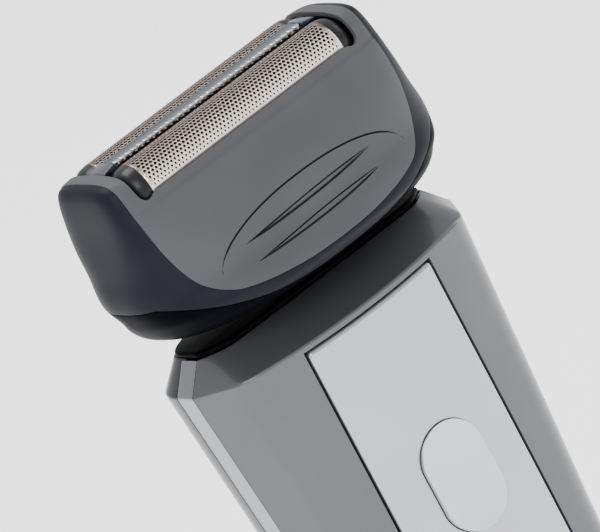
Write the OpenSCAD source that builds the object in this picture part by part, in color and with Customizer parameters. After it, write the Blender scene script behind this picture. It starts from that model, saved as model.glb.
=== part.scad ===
// Twin-foil electric shaver with a two-way swinging head.
// X is left to right seen from the front, the front faces -Y, and the base stands on z = 0.

/* [Handle] */
// Height of the flat top of the handle
body_top_z = 127.4; // [127:0.1:128]
// Height of the shoulder edge, where the sloping shoulder meets the front
shoulder_z = 123.1; // [122.6:0.1:123.6]
// Half width of the handle at the shoulder edge
shoulder_half_w = 27; // [26.5:0.1:27.5]
// Wall thickness of the handle shells
body_wall = 2.2; // [2:0.1:2.4]
// Half width of the raised front panel
panel_half_w = 12.7; // [12:0.1:13.4]

/* [Head] */
// Height of the ends of the parting line between foil frame and head shell
head_z = 157; // [157:0.1:157.4]
// Wall thickness of the head shell
head_wall = 1.7; // [1.5:0.1:1.9]
// Half width of the foil frame
frame_half_w = 24.65; // [24.4:0.05:24.8]

/* [Foils and cutters] */
// Outer radius of a foil arch
foil_r = 4.4; // [4.3:0.05:4.4]
// Distance of each foil arch from the middle plane
foil_y = 5.2; // [5.2:0.05:5.25]
// Half of the visible foil length
foil_half_l = 19.6; // [19.4:0.1:19.8]
// Thickness of a foil sheet
foil_t = 0.2; // [0.15:0.05:0.2]
// Number of blades on one cutter
blade_count = 19; // [15:2:21]

/* [Motion] */
// Height of the left-right rocking axis
rock_z = 122; // [121.5:0.5:122]
// Height of the front-back tilting axis
tilt_z = 134.5; // [134.4:0.1:134.8]
// Radius of the steel hinge pins
pin_r = 1.5; // [1.4:0.1:1.6]
// Radial running clearance of the hinge pins
pin_fit = 0.05; // [0.03:0.01:0.08]

/* [Hidden] */
eps = 0.01;
gap = 0.1;              // half of a parting line
$fn = 48;

// Handle outline rows: height, half width, front depth, front bulge, back depth.
BODY_ROWS = [
    [0, 20.3, 11.6, 3, 11],
    [1.5, 21.3, 12.6, 3.3, 12],
    [30, 21.6, 13, 3.5, 12.5],
    [62, 22.2, 13.4, 3.7, 13],
    [92, 24.4, 14.4, 4.1, 13.6],
    [shoulder_z, shoulder_half_w, 15.3, 4.45, 14],
    [body_top_z, 23.3, 6.6, 0.4, 10.6]
];
// Head outline rows: height above head_z, half width, half depth, squareness in front, behind.
HEAD_ROWS = [
    [-26.8, 11.5, 6.4, 2.4, 2.1],
    [-26.3, 17.6, 10.4, 2.6, 2.2],
    [-25.4, 23.1, 15.1, 2.3, 2.3],
    [-24.2, 26, 17.4, 2.4, 2.35],
    [-22.6, 27.3, 18.5, 2.45, 2.3],
    [-20.5, 28.4, 17.7, 2.8, 2.1],
    [-17, 29.3, 15.6, 2.95, 2.65],
    [-12, 28.3, 14.7, 3.6, 3.3],
    [-6, 27.3, 12.5, 5.3, 4.9],
    [-1, 26.8, 10.35, 6.7, 5.8],
    [2, 26.2, 9.25, 7.2, 6],
    [3.4, 25.5, 8.7, 7.2, 6.8]
];
facet_share = 0.85;     // the front facet's share of the handle's half width
band_y0 = -2.25;        // front and back edge of the silver side bands
band_y1 = 2.15;
back_square = 2.6;      // squareness of the rear cover
arc_steps = 8;
back_steps = 12;
head_steps = 44;
foil_z = head_z - 1.83;          // height of the foil arch centres
cutter_r = foil_r - foil_t - 0.1;
cassette_z = head_z - 6.1;       // underside of the foil cassettes
cassette_half_w = foil_r - foil_t - 0.05;
bridge_z = head_z - 9.8;         // underside of the drive bridge
bridge_t = 2;
carrier_z = head_z - 6.2;        // underside of the cutter carriers
carrier_t = 2.6;
comb_z = head_z + 2.15;          // underside of the trimmer comb
frame_open = foil_half_l + 2.8;  // half length of the foil opening
screw_x = 16;
SCREW_Z = [33, 103];
button_z = 92;
panel_z0 = 34;
panel_z1 = shoulder_z - 1.3;
inlet_z = 9;                     // depth of the charging inlet
ear_in = 5;                      // chassis ears run from here to ear_out
ear_out = 8;
tilt_ear_in = 8;
tilt_ear_out = 11;
stalk = 4;                       // half width of the carriage stalk
rock_hub_r = 3.6;
tilt_hub_r = 2.8;
post_x = 12.5;                   // chassis posts beside the battery
edge_centre = -24.5;             // lower edge of the head shell, at the middle and how far it rises
edge_rise = 5.7;

// ---- shared shapes ----

// Oval with its own squareness in front (n) and behind (n_back).
function superellipse(a, b, n, n_back, steps) = [
    for (i = [0:steps - 1])
        let (c = cos(360 * i / steps), s = sin(360 * i / steps), k = s < 0 ? n : n_back,
             r = pow(pow(abs(c), k) + pow(abs(s), k), -1 / k))
        [a * c * r, b * s * r]
];

function body_ring(row, d) =
    let (w = row[1] - d, f = row[2] - d, b = row[4] - d, fw = facet_share * w)
    concat(
        [for (i = [0:arc_steps])
            let (u = -1 + 2 * i / arc_steps) [u * fw, -f + row[3] * u * u]],
        [[w, band_y0], [w, band_y1]],
        [for (i = [1:back_steps - 1])
            let (t = 180 * i / back_steps, c = cos(t), s = sin(t),
                 r = pow(pow(abs(c), back_square) + pow(abs(s), back_square), -1 / back_square))
            [w * c * r, band_y1 + (b - band_y1) * s * r]],
        [[-w, band_y1], [-w, band_y0]]
    );

// Closed solid through rings of equal point counts at the given heights.
module loft(rings, heights) {
    n = len(rings[0]);
    m = len(rings);
    points = [for (j = [0:m - 1]) for (p = rings[j]) [p[0], p[1], heights[j]]];
    sides = [for (j = [0:m - 2]) for (i = [0:n - 1])
        let (a = j * n + i, b = j * n + (i + 1) % n)
        each [[a, a + n, b], [b, a + n, b + n]]];
    bottom = [for (i = [0:n - 1]) i];
    top = [for (i = [n - 1:-1:0]) (m - 1) * n + i];
    polyhedron(points, concat([bottom], sides, [top]));
}

module body_form(d = 0) {
    loft([for (row = BODY_ROWS) body_ring(row, d)], [for (row = BODY_ROWS) row[0]]);
}

module head_form(d = 0) {
    loft([for (row = HEAD_ROWS)
              superellipse(row[1] - d, row[2] - d, row[3], row[4], head_steps)],
         [for (row = HEAD_ROWS) head_z + row[0]]);
}

// A box from its two corners.
module span(low, high) {
    translate(low) cube(high - low);
}

module rod_x(r, x0, x1, y, z) {
    translate([x0, y, z]) rotate([0, 90, 0]) cylinder(r = r, h = x1 - x0);
}

module rod_y(r, y0, y1, x, z) {
    translate([x, y0, z]) rotate([-90, 0, 0]) cylinder(r = r, h = y1 - y0);
}

module body_cavity() {
    intersection() {
        body_form(body_wall);
        span([-40, -30, 3], [40, 30, body_top_z - 2]);
    }
}

module head_cavity() {
    intersection() {
        head_form(head_wall);
        span([-40, -30, head_z - 24.6], [40, 30, head_z + 0.6]);
    }
}

// Everything above the lower edge of the head shell, which sags towards the middle.
module above_shell_edge(lift) {
    edge = [for (i = [-8:8]) let (x = 3.8 * i)
        [x, head_z + edge_centre + edge_rise * pow(abs(x) / 26, 2.5) + lift]];
    translate([0, 30, 0]) rotate([90, 0, 0]) linear_extrude(60)
        polygon(concat(edge, [[30.4, head_z + 20], [-30.4, head_z + 20]]));
}

// The foil frame's outline seen from the front: straight sides, big corners, a shallow smile below.
function frame_half_outline(w) = [
    [w, 8], [w, -4.5], [w - 0.35, -9], [w - 1.2, -13.1], [w - 2.6, -16.6], [w - 4.7, -19],
    [w - 7.5, -20.5], [w - 14.5, -21.8], [w - 20, -22.25]
];

module frame_prism(d) {
    half = frame_half_outline(frame_half_w - d);
    low = -22.35 + d;
    other = [for (i = [len(half) - 1:-1:0]) [-half[i][0], max(half[i][1], low)]];
    translate([0, 30, 0]) rotate([90, 0, 0]) linear_extrude(60) translate([0, head_z])
        polygon(concat([for (p = half) [p[0], max(p[1], low)]], [[0, low]], other));
}

// The arched top shared by the cheeks and the frame's two saddles.
module arch_top(lift) {
    top = [for (i = [-10:10])
        let (y = 10.9 * sin(9 * i), u = abs(y) / 10.9)
        [y, head_z - 3.4 + lift + 6 * pow(max(0, 1 - pow(u, 3)), 1 / 3)]];
    translate([-40, 0, 0]) rotate([90, 0, 90]) linear_extrude(80)
        polygon(concat([[-30, head_z - 40], [-30, head_z - 3.4 + lift]], top,
                       [[30, head_z - 3.4 + lift], [30, head_z - 40]]));
}

module rounded_slab(half_w, half_h, r, depth) {
    linear_extrude(depth) {
        square([2 * half_w, 2 * (half_h - r)], center = true);
        square([2 * (half_w - r), 2 * half_h], center = true);
        for (x = [-1, 1], y = [-1, 1])
            translate([x * (half_w - r), y * (half_h - r)]) circle(r);
    }
}

module neck_opening() {
    span([-stalk - 1.5, -stalk - 0.6, shoulder_z - 4], [stalk + 1.5, stalk + 0.6, body_top_z + 6]);
}

// Where the base cap's inlet socket comes up through the floor of the handle.
module socket_opening() {
    span([-9.2, -7.2, -1], [9.2, 7.2, 6]);
}

// ---- handle ----

module panel_pocket(d) {
    span([-panel_half_w - d, -40, panel_z0 - d], [panel_half_w + d, -8, panel_z1 + d]);
}

module front_shell() {
    color("#5b5c60") difference() {
        intersection() {
            body_form();
            span([-40, -30, 1.8], [40, band_y0 - gap, 200]);
        }
        body_cavity();
        panel_pocket(0.5);
        neck_opening();
        socket_opening();
    }
}

module side_bands() {
    color("#8a8b90") difference() {
        intersection() {
            body_form();
            span([-40, band_y0 + gap, 1.8], [40, band_y1 - gap, 200]);
        }
        body_cavity();
        span([-14, -10, body_top_z - 8], [14, 10, 200]);
        socket_opening();
    }
}

module rear_cover() {
    color("#101114") difference() {
        intersection() {
            body_form();
            span([-40, band_y1 + gap, 1.8], [40, 30, 200]);
        }
        difference() {
            body_cavity();
            span([-14, 9.3, 70], [14, 30, 122]);
        }
        neck_opening();
        socket_opening();
        span([-12.6, 11, 74], [12.6, 30, 200]);
    }
}

module base_cap() {
    color("#16171a") difference() {
        union() {
            intersection() {
                body_form();
                span([-40, -30, 0], [40, 30, 1.6]);
            }
            span([-9, -7, 1.6], [9, 7, 11.5]);
        }
        translate([0, 0, -1]) rounded_slab(5.5, 3, 1.6, inlet_z + 1);
        for (x = [-2.6, 2.6]) translate([x, 0, -1]) cylinder(r = 0.9, h = 20);
        for (x = [-14.5, 14.5]) translate([x, 0, -1]) cylinder(r = 1.2, h = 10);
        for (x = [-14.5, 14.5]) translate([x, 0, -1]) cylinder(r = 2.2, h = 1.9);
    }
}

module front_panel() {
    color("#a7a9ae") difference() {
        intersection() {
            body_form(-0.3);
            span([-panel_half_w, -30, panel_z0], [panel_half_w, -9.6, panel_z1]);
        }
        span([-panel_half_w + 1.6, -11.4, panel_z0 + 1.6], [panel_half_w - 1.6, -8, panel_z1 - 3]);
        translate([0, 0, button_z]) rotate([90, 0, 0]) rounded_slab(5.75, 9.15, 5.7, 30);
        rod_y(1.55, -30, 0, 0, 64);
    }
}

module power_button() {
    color("#c9cbd0") {
        intersection() {
            translate([0, 0, button_z]) rotate([90, 0, 0]) rounded_slab(5.6, 9, 5.6, 30);
            body_form(-1.1);
            span([-10, -30, 70], [10, -11.2, 120]);
        }
    }
}

module indicator_lens() {
    color("#7fd0a0") rod_y(1.5, -13.65, -10.4, 0, 64);
}

module neck_collar() {
    top = BODY_ROWS[len(BODY_ROWS) - 1];
    color("#0c0c0e") difference() {
        loft([body_ring(top, 0.45), body_ring(top, 0.45), body_ring(top, 1.1)],
             [body_top_z + 0.05, body_top_z + 0.55, body_top_z + 1]);
        neck_opening();
    }
}

module neck_seal() {
    color("#2a2b2e") difference() {
        span([-8.2, -6.4, body_top_z - 3.3], [8.2, 6.4, body_top_z - 2.05]);
        span([-stalk - 1.3, -stalk - 0.45, body_top_z - 4], [stalk + 1.3, stalk + 0.45, body_top_z]);
    }
}

module inner_chassis() {
    color("#3c3e44") difference() {
        union() {
            span([-15, 4, 13], [15, 5.6, 118]);
            span([-15, -7.4, 12], [15, 5.6, 13.4]);
            span([-15, -7.4, 70], [15, 5.6, 71.6]);
            for (s = [-1, 1]) span([s * post_x - 1, -7.4, 12], [s * post_x + 1, 5.6, 71.6]);
            for (s = [-1, 1]) span([-6.5, min(s * ear_in, s * ear_out), 112],
                                   [6.5, max(s * ear_in, s * ear_out), rock_z + 2.1]);
            span([-6.5, -8, 110], [6.5, 8, 113]);
            for (s = [-1, 1], z = SCREW_Z)
                span([s * screw_x - 2.2, 3, z - 3], [s * screw_x + 2.2, 5.6, z + 3]);
        }
        rod_y(pin_r + pin_fit, -ear_out - 1, ear_out + 1, 0, rock_z);
        for (s = [-1, 1], z = SCREW_Z) rod_y(1, 0, 8, s * screw_x, z);
    }
}

module battery() {
    color("#4e7f5a") {
        translate([0, -2.9, 15.6]) cylinder(r = 6.7, h = 51.5);
        translate([0, -2.9, 67.1]) cylinder(r = 2.2, h = 1.1);
    }
}

module battery_contacts() {
    color("#c9b77a") {
        span([-4.5, -6.5, 68.4], [4.5, 0.6, 68.8]);
        span([-4.5, -6.5, 13.6], [4.5, 0.6, 14]);
        translate([0, -2.9, 14]) difference() {
            cylinder(r = 2.6, h = 1.5);
            translate([0, 0, -1]) cylinder(r = 1.8, h = 4);
        }
    }
}

module circuit_board() {
    color("#2f6b45") {
        span([-10.8, -9.9, 73], [10.8, -8.7, 108]);
        span([-8, -8.7, 96], [-1, -7.3, 103]);
        for (i = [0:3]) span([1 + 2.4 * i, -8.7, 98], [2.4 + 2.4 * i, -8, 101]);
        for (i = [0:2]) span([-9 + 4 * i, -8.7, 77], [-7 + 4 * i, -7.9, 80]);
    }
}

module button_switch() {
    color("#2b2b2e") {
        span([-3, -10.3, button_z - 3], [3, -9.92, button_z + 3]);
    }
}

module charging_pins() {
    color("#d8d2c0") for (x = [-2.6, 2.6]) {
        translate([x, 0, inlet_z - 3]) cylinder(r = 0.88, h = 6);
    }
}

module housing_screws() {
    color("#b8babd") {
        for (s = [-1, 1], z = SCREW_Z) {
            rod_y(0.98, 2.9, 7.2, s * screw_x, z);
            rod_y(1.8, 1.7, 2.9, s * screw_x, z);
        }
    }
}

// ---- swinging neck ----

module rock_pin() {
    color("#c2c5c9") rod_y(pin_r, -ear_out - 0.3, ear_out + 0.3, 0, rock_z);
}

module swing_carriage() {
    color("#1b1c1f") difference() {
        union() {
            rod_y(rock_hub_r, -stalk - 0.3, stalk + 0.3, 0, rock_z);
            span([-stalk, -stalk, rock_z], [stalk, stalk, tilt_z - 1.5]);
            rod_x(tilt_hub_r, -tilt_ear_in + 0.3, tilt_ear_in - 0.3, 0, tilt_z);
        }
        rod_y(pin_r, -ear_out, ear_out, 0, rock_z);
        rod_x(pin_r, -tilt_ear_out, tilt_ear_out, 0, tilt_z);
    }
}

module tilt_pin() {
    color("#c2c5c9") rod_x(pin_r, -tilt_ear_out - 0.3, tilt_ear_out + 0.3, 0, tilt_z);
}

// ---- head ----

module head_base() {
    color("#0d0e11") difference() {
        union() {
            difference() {
                head_form();
                above_shell_edge(-0.12);
                head_cavity();
            }
            for (s = [-1, 1]) {
                span([min(s * tilt_ear_in, s * tilt_ear_out), -3.6, head_z - 26],
                     [max(s * tilt_ear_in, s * tilt_ear_out), 3.6, tilt_z + 3.4]);
                span([min(s * 18, s * 20.5), -4, head_z - 25],
                     [max(s * 18, s * 20.5), 4, head_z - 13]);
            }
        }
        rod_x(pin_r + pin_fit, -tilt_ear_out - 1, tilt_ear_out + 1, 0, tilt_z);
        span([-stalk - 0.5, -stalk - 1.2, head_z - 30], [stalk + 0.5, stalk + 1.2, head_z - 24]);
        span([-tilt_ear_in + 0.05, -3.4, tilt_z - tilt_hub_r - 0.3],
             [tilt_ear_in - 0.05, 3.4, tilt_z + tilt_hub_r]);
    }
}

module head_shell() {
    color("#3c3e46") difference() {
        intersection() {
            head_form();
            above_shell_edge(0);
            arch_top(0);
        }
        head_cavity();
        frame_prism(-gap);
    }
}

module motor_core() {
    color("#8d8f93") difference() {
        span([-17.8, -5.5, head_z - 18], [17.8, 5.5, head_z - 10.6]);
        span([-11.2, -6, head_z - 16.2], [-4.8, 6, head_z - 10]);
        span([4.8, -6, head_z - 16.2], [11.2, 6, head_z - 10]);
    }
}

module motor_coil() {
    color("#b5652b") for (s = [-1, 1]) {
        translate([s * 8, 0, 0]) difference() {
            span([-3, -7.4, head_z - 16], [3, 7.4, head_z - 11]);
            span([-1.1, -5.8, head_z - 17], [1.1, 5.8, head_z - 10]);
        }
    }
}

module drive_bridge() {
    color("#d9d9d4") difference() {
        union() {
            span([-15, -7.4, bridge_z], [15, 7.4, bridge_z + bridge_t]);
            for (s = [-1, 1]) translate([0, s * foil_y, bridge_z + 1])
                cylinder(r = 1, h = head_z - 5.1 - bridge_z - 1);
            for (s = [-1, 1]) span([min(s * 1.3, s * 2), -0.6, bridge_z + 1],
                                   [max(s * 1.3, s * 2), 0.6, head_z - 4.6]);
        }
        for (s = [-1, 1]) span([s * 9 - 3, -5, bridge_z - 1], [s * 9 + 3, 5, bridge_z + 4]);
    }
}

module foil_frame() {
    color("#5a5b5f") difference() {
        intersection() {
            head_form();
            frame_prism(0);
            arch_top(0);
        }
        head_cavity();
        span([-frame_open, -foil_y - foil_r - 0.15, head_z - 8],
             [frame_open, foil_y + foil_r + 0.15, head_z + 20]);
        span([-frame_open + 2.6, -20, head_z - 1.8], [frame_open - 2.6, 20, head_z + 20]);
    }
}

module foil_sheet(side) {
    translate([-foil_half_l, side * foil_y, foil_z]) rotate([90, 0, 90])
    linear_extrude(2 * foil_half_l) difference() {
        union() {
            circle(foil_r);
            translate([-foil_r, -1.9]) square([2 * foil_r, 1.9]);
        }
        circle(foil_r - foil_t);
        translate([-foil_r + foil_t, -10]) square([2 * (foil_r - foil_t), 10]);
        translate([-10, -12]) square([20, 10.1]);
    }
}

module front_foil() {
    color("#d9c8b6") foil_sheet(-1);
}

module rear_foil() {
    color("#d9c8b6") foil_sheet(1);
}

// Plastic frame under a foil: two side walls and two round end cheeks.
module cassette(side) {
    end_in = foil_half_l - 0.5;
    half_l = foil_half_l + 2.5;
    translate([0, side * foil_y, 0]) {
        difference() {
            span([-half_l, -cassette_half_w, cassette_z], [half_l, cassette_half_w, foil_z - 0.4]);
            span([-end_in, -cassette_half_w + 0.6, cassette_z - 1],
                 [end_in, cassette_half_w - 0.6, foil_z + 1]);
        }
        for (s = [-1, 1]) translate([s * end_in, 0, 0]) intersection() {
            rotate([0, s * 90, 0]) union() {
                translate([-foil_z * s, 0, 0]) {
                    cylinder(r = cassette_half_w, h = 0.6);
                    translate([0, 0, 0.6]) cylinder(r = foil_r - 0.1, h = 1.4);
                    translate([0, 0, 2]) cylinder(r1 = foil_r - 0.1, r2 = foil_r - 1.1, h = 1);
                }
            }
            span([-10, -10, foil_z - 0.5], [10, 10, foil_z + 10]);
        }
    }
}

module front_cassette() {
    color("#3a3b3f") cassette(-1);
}

module rear_cassette() {
    color("#3a3b3f") cassette(1);
}

// Row of half-round blades on a carrier that the bridge pin moves from side to side.
module cutter(side) {
    half_l = 16.8;
    pitch = 2 * half_l / (blade_count - 1);
    translate([0, side * foil_y, 0]) {
        difference() {
            span([-half_l - 0.4, -3.2, carrier_z], [half_l + 0.4, 3.2, carrier_z + carrier_t]);
            span([-1.05, -1.3, carrier_z - 1], [1.05, 1.3, carrier_z + carrier_t - 0.3]);
        }
        for (i = [0:blade_count - 1]) translate([-half_l + i * pitch, 0, foil_z])
            rotate([90, 0, 90]) linear_extrude(0.35, center = true) difference() {
                union() {
                    circle(cutter_r);
                    translate([-2.6, -3]) square([5.2, 3]);
                }
                circle(cutter_r - 1.3);
                translate([-10, -10]) square([20, 9.7]);
                translate([-2.6, -3]) square([5.2, 3]);
            }
        for (s = [-1, 1]) span([-half_l - 0.175, s * 2.9 - 0.25, carrier_z + carrier_t - eps],
                               [half_l + 0.175, s * 2.9 + 0.25, foil_z + 0.4]);
    }
}

module front_cutter() {
    color("#b9bcc2") cutter(-1);
}

module rear_cutter() {
    color("#b9bcc2") cutter(1);
}

module cutter_spring(side) {
    translate([0, side * foil_y, bridge_z + bridge_t]) difference() {
        cylinder(r = 1.8, h = carrier_z - bridge_z - bridge_t);
        translate([0, 0, -1]) cylinder(r = 1.2, h = 6);
    }
}

module front_spring() {
    color("#cfd1d4") cutter_spring(-1);
}

module rear_spring() {
    color("#cfd1d4") cutter_spring(1);
}

// ---- centre trimmer ----

module trimmer_mount() {
    color("#22304a") difference() {
        union() {
            span([-21.9, -0.45, head_z - 6.1], [21.9, 0.45, head_z + 1.4]);
            for (s = [-1, 1]) span([min(s * 19.2, s * 21.9), -1.45, head_z + 1.4],
                                   [max(s * 19.2, s * 21.9), 1.45, comb_z + 0.6]);
        }
        span([-3.4, -1, head_z - 8], [3.4, 1, comb_z]);
    }
}

module comb_plate(half_l, half_w, z, t, teeth, tooth_w) {
    span([-half_l, -half_w + 0.6, z], [half_l, half_w - 0.6, z + t]);
    for (i = [0:teeth - 1]) translate([-half_l + (i + 0.5) * 2 * half_l / teeth, 0, 0])
        span([-tooth_w / 2, -half_w, z], [tooth_w / 2, half_w, z + t]);
}

module trimmer_comb() {
    color("#8b9aa8") comb_plate(19.1, 1.9, comb_z, 0.6, 32, 0.7);
}

module trimmer_blade() {
    color("#a3adb6") {
        comb_plate(17.4, 1.5, comb_z - 0.63, 0.5, 29, 0.6);
        span([-1.2, -0.35, head_z - 5.8], [1.2, 0.35, comb_z - 0.5]);
    }
}

// ---- pop-up beard trimmer on the back ----

module beard_trimmer_slide() {
    color("#1d1e22") {
        span([-9.5, 11.3, 78], [9.5, 13.7, 116]);
        for (i = [0:3]) span([-6, 13.7, 84 + 2.4 * i], [6, 14, 85 + 2.4 * i]);
    }
}

module beard_trimmer_comb() {
    color("#9aa4ad") {
        span([-11.5, 11.6, 116], [11.5, 12.2, 118.4]);
        for (i = [0:15]) span([-11.5 + 1.5 * i, 11.6, 118.4], [-10.7 + 1.5 * i, 12.2, 120]);
    }
}

module beard_trimmer_blade() {
    color("#b6bec5") {
        span([-10, 12.3, 116], [10, 12.8, 118]);
        for (i = [0:12]) span([-9.7 + 1.55 * i, 12.3, 118], [-8.9 + 1.55 * i, 12.8, 119.6]);
    }
}

front_shell();
side_bands();
rear_cover();
base_cap();
front_panel();
power_button();
indicator_lens();
neck_collar();
neck_seal();
inner_chassis();
battery();
battery_contacts();
circuit_board();
button_switch();
charging_pins();
housing_screws();
rock_pin();
swing_carriage();
tilt_pin();
head_base();
head_shell();
motor_core();
motor_coil();
drive_bridge();
foil_frame();
front_foil();
rear_foil();
front_cassette();
rear_cassette();
front_cutter();
rear_cutter();
front_spring();
rear_spring();
trimmer_mount();
trimmer_comb();
trimmer_blade();
beard_trimmer_slide();
beard_trimmer_comb();
beard_trimmer_blade();
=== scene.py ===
"""Twin-foil electric shaver with a two-way swinging head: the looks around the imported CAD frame."""
import math

import bpy
import numpy as np
from mathutils import Matrix, Vector


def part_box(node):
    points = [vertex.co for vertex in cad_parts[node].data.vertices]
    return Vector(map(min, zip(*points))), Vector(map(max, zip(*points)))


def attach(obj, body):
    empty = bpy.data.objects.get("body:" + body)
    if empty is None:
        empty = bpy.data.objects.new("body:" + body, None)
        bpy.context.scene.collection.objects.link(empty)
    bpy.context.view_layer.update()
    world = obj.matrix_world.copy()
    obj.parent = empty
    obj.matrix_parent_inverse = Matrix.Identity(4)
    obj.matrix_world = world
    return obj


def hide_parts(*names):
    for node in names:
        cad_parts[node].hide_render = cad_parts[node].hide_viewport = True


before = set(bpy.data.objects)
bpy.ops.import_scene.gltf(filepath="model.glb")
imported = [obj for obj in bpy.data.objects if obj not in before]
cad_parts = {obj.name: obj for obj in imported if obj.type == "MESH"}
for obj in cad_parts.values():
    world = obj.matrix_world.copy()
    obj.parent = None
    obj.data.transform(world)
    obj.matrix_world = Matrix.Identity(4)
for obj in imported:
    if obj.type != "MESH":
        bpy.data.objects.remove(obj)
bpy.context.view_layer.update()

MM = 0.001
scene = bpy.context.scene

# ---- places from the frame, in millimetres


def box_mm(node):
    low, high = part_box(node)
    return np.array(low) / MM, np.array(high) / MM


FOIL_LOW, FOIL_HIGH = box_mm("front_foil")
FOIL_R = (FOIL_HIGH[1] - FOIL_LOW[1]) / 2
FOIL_Y = -(FOIL_HIGH[1] + FOIL_LOW[1]) / 2
FOIL_Z = FOIL_HIGH[2] - FOIL_R
FOIL_HALF = FOIL_HIGH[0]
HEAD_Z = FOIL_Z + 1.83  # height of the ends of the parting line
BODY_TOP = box_mm("neck_collar")[0][2] - 0.05
SHOULDER = BODY_TOP - 4.3
PANEL_LOW, PANEL_HIGH = box_mm("front_panel")
PANEL_W = PANEL_HIGH[0]

# ---- walls and edges, in millimetres

FRAME_WALL, HEAD_WALL = 0.75, 1.3
HANDLE_WALL, COVER_WALL, PANEL_WALL = 1.4, 2.0, 2.4
CUT_SHARP, FORM_SHARP = math.radians(40), math.radians(50)

# ---- material helpers

COLOUR_DETAIL, GRAIN_DETAIL = 6.0, 3.0  # octaves of the noises
RAMP_LOW, RAMP_HIGH = 0.3, 0.7
DRIFT_SCALE = 90  # colour drift on plastic, per metre
GRAIN_HEIGHT, BRUSH_HEIGHT = 0.00002, 0.00001  # metres
PLASTIC_DRIFT, METAL_DRIFT = 0.04, 0.05  # spread of the roughness
METAL_SPREAD, METAL_BUMP, SHADED_BUMP = 0.05, 0.08, 0.02
STREAK_GREY = (0.94, 0.94, 0.94)


def new_material(name):
    mat = bpy.data.materials.new(name)
    mat.use_nodes = True
    return mat, mat.node_tree.nodes, mat.node_tree.links, mat.node_tree.nodes["Principled BSDF"]


def mottled(nodes, links, bsdf, colour, spread, scale, stretch=(1, 1, 1)):
    """Base colour that wanders a little over the surface."""
    coords = nodes.new("ShaderNodeTexCoord")
    mapping = nodes.new("ShaderNodeMapping")
    mapping.inputs["Scale"].default_value = stretch
    noise = nodes.new("ShaderNodeTexNoise")
    noise.inputs["Scale"].default_value = scale
    noise.inputs["Detail"].default_value = COLOUR_DETAIL
    ramp = nodes.new("ShaderNodeValToRGB")
    ramp.color_ramp.elements[0].position = RAMP_LOW
    ramp.color_ramp.elements[1].position = RAMP_HIGH
    ramp.color_ramp.elements[0].color = [c * (1 - spread) for c in colour] + [1]
    ramp.color_ramp.elements[1].color = [min(1, c * (1 + spread)) for c in colour] + [1]
    links.new(coords.outputs["Object"], mapping.inputs["Vector"])
    links.new(mapping.outputs["Vector"], noise.inputs["Vector"])
    links.new(noise.outputs["Fac"], ramp.inputs["Fac"])
    links.new(ramp.outputs["Color"], bsdf.inputs["Base Color"])
    return mapping


def rough_and_bump(nodes, links, bsdf, mapping, rough, rough_spread, scale, bump, distance):
    """Roughness and a fine bump from one noise at the given scale (per metre)."""
    noise = nodes.new("ShaderNodeTexNoise")
    noise.inputs["Scale"].default_value = scale
    noise.inputs["Detail"].default_value = GRAIN_DETAIL
    span = nodes.new("ShaderNodeMapRange")
    span.inputs["To Min"].default_value = rough - rough_spread
    span.inputs["To Max"].default_value = rough + rough_spread
    links.new(mapping.outputs["Vector"], noise.inputs["Vector"])
    links.new(noise.outputs["Fac"], span.inputs["Value"])
    links.new(span.outputs["Result"], bsdf.inputs["Roughness"])
    if bump:
        node = nodes.new("ShaderNodeBump")
        node.inputs["Strength"].default_value = bump
        node.inputs["Distance"].default_value = distance
        links.new(noise.outputs["Fac"], node.inputs["Height"])
        links.new(node.outputs["Normal"], bsdf.inputs["Normal"])


def plastic(name, colour, rough, spread=0.06, grain=5000, bump=0.05, coat=0.0, coat_rough=0.08,
            metallic=0.0, shine=0.5):
    """Moulded or lacquered plastic: faint colour drift, a fine grain, optional clear coat."""
    mat, nodes, links, bsdf = new_material(name)
    mapping = mottled(nodes, links, bsdf, colour, spread, DRIFT_SCALE)
    rough_and_bump(nodes, links, bsdf, mapping, rough, PLASTIC_DRIFT, grain, bump, GRAIN_HEIGHT)
    bsdf.inputs["Coat Weight"].default_value = coat
    bsdf.inputs["Coat Roughness"].default_value = coat_rough
    bsdf.inputs["Metallic"].default_value = metallic
    bsdf.inputs["Specular IOR Level"].default_value = shine
    return mat


def metal(name, colour, rough, stretch=(1, 1, 1), scale=900):
    """Metal with its grain drawn out along one direction."""
    mat, nodes, links, bsdf = new_material(name)
    mapping = mottled(nodes, links, bsdf, colour, METAL_SPREAD, scale, stretch)
    rough_and_bump(nodes, links, bsdf, mapping, rough, METAL_DRIFT, scale * 2, METAL_BUMP,
                   BRUSH_HEIGHT)
    bsdf.inputs["Metallic"].default_value = 1.0
    return mat


def shaded_metal(name, source, axis, near, far, dull, bright, rough, stretch, scale, contrast):
    """Metal whose colour goes from dull to bright with the size of one component of a vector; the
    blend paints shade on the foil and highlights on the comb's teeth.
    """
    mat, nodes, links, bsdf = new_material(name)
    mapping = mottled(nodes, links, bsdf, STREAK_GREY, contrast, scale, stretch)
    streaks = bsdf.inputs["Base Color"].links[0].from_socket
    vector = nodes.new("ShaderNodeTexCoord").outputs[source]
    parts = nodes.new("ShaderNodeSeparateXYZ")
    size = nodes.new("ShaderNodeMath")
    size.operation = "ABSOLUTE"
    share = nodes.new("ShaderNodeMapRange")
    share.inputs["From Min"].default_value = near
    share.inputs["From Max"].default_value = far
    blend = nodes.new("ShaderNodeValToRGB")
    blend.color_ramp.elements[0].color = [*dull, 1]
    blend.color_ramp.elements[1].color = [*bright, 1]
    tint = nodes.new("ShaderNodeVectorMath")
    tint.operation = "MULTIPLY"
    links.new(vector, parts.inputs["Vector"])
    links.new(parts.outputs[axis], size.inputs[0])
    links.new(size.outputs[0], share.inputs["Value"])
    links.new(share.outputs["Result"], blend.inputs["Fac"])
    links.new(blend.outputs["Color"], tint.inputs[0])
    links.new(streaks, tint.inputs[1])
    links.new(tint.outputs["Vector"], bsdf.inputs["Base Color"])
    rough_and_bump(nodes, links, bsdf, mapping, rough, METAL_DRIFT, scale * 2, SHADED_BUMP,
                   BRUSH_HEIGHT)
    bsdf.inputs["Metallic"].default_value = 1.0
    return mat


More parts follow.
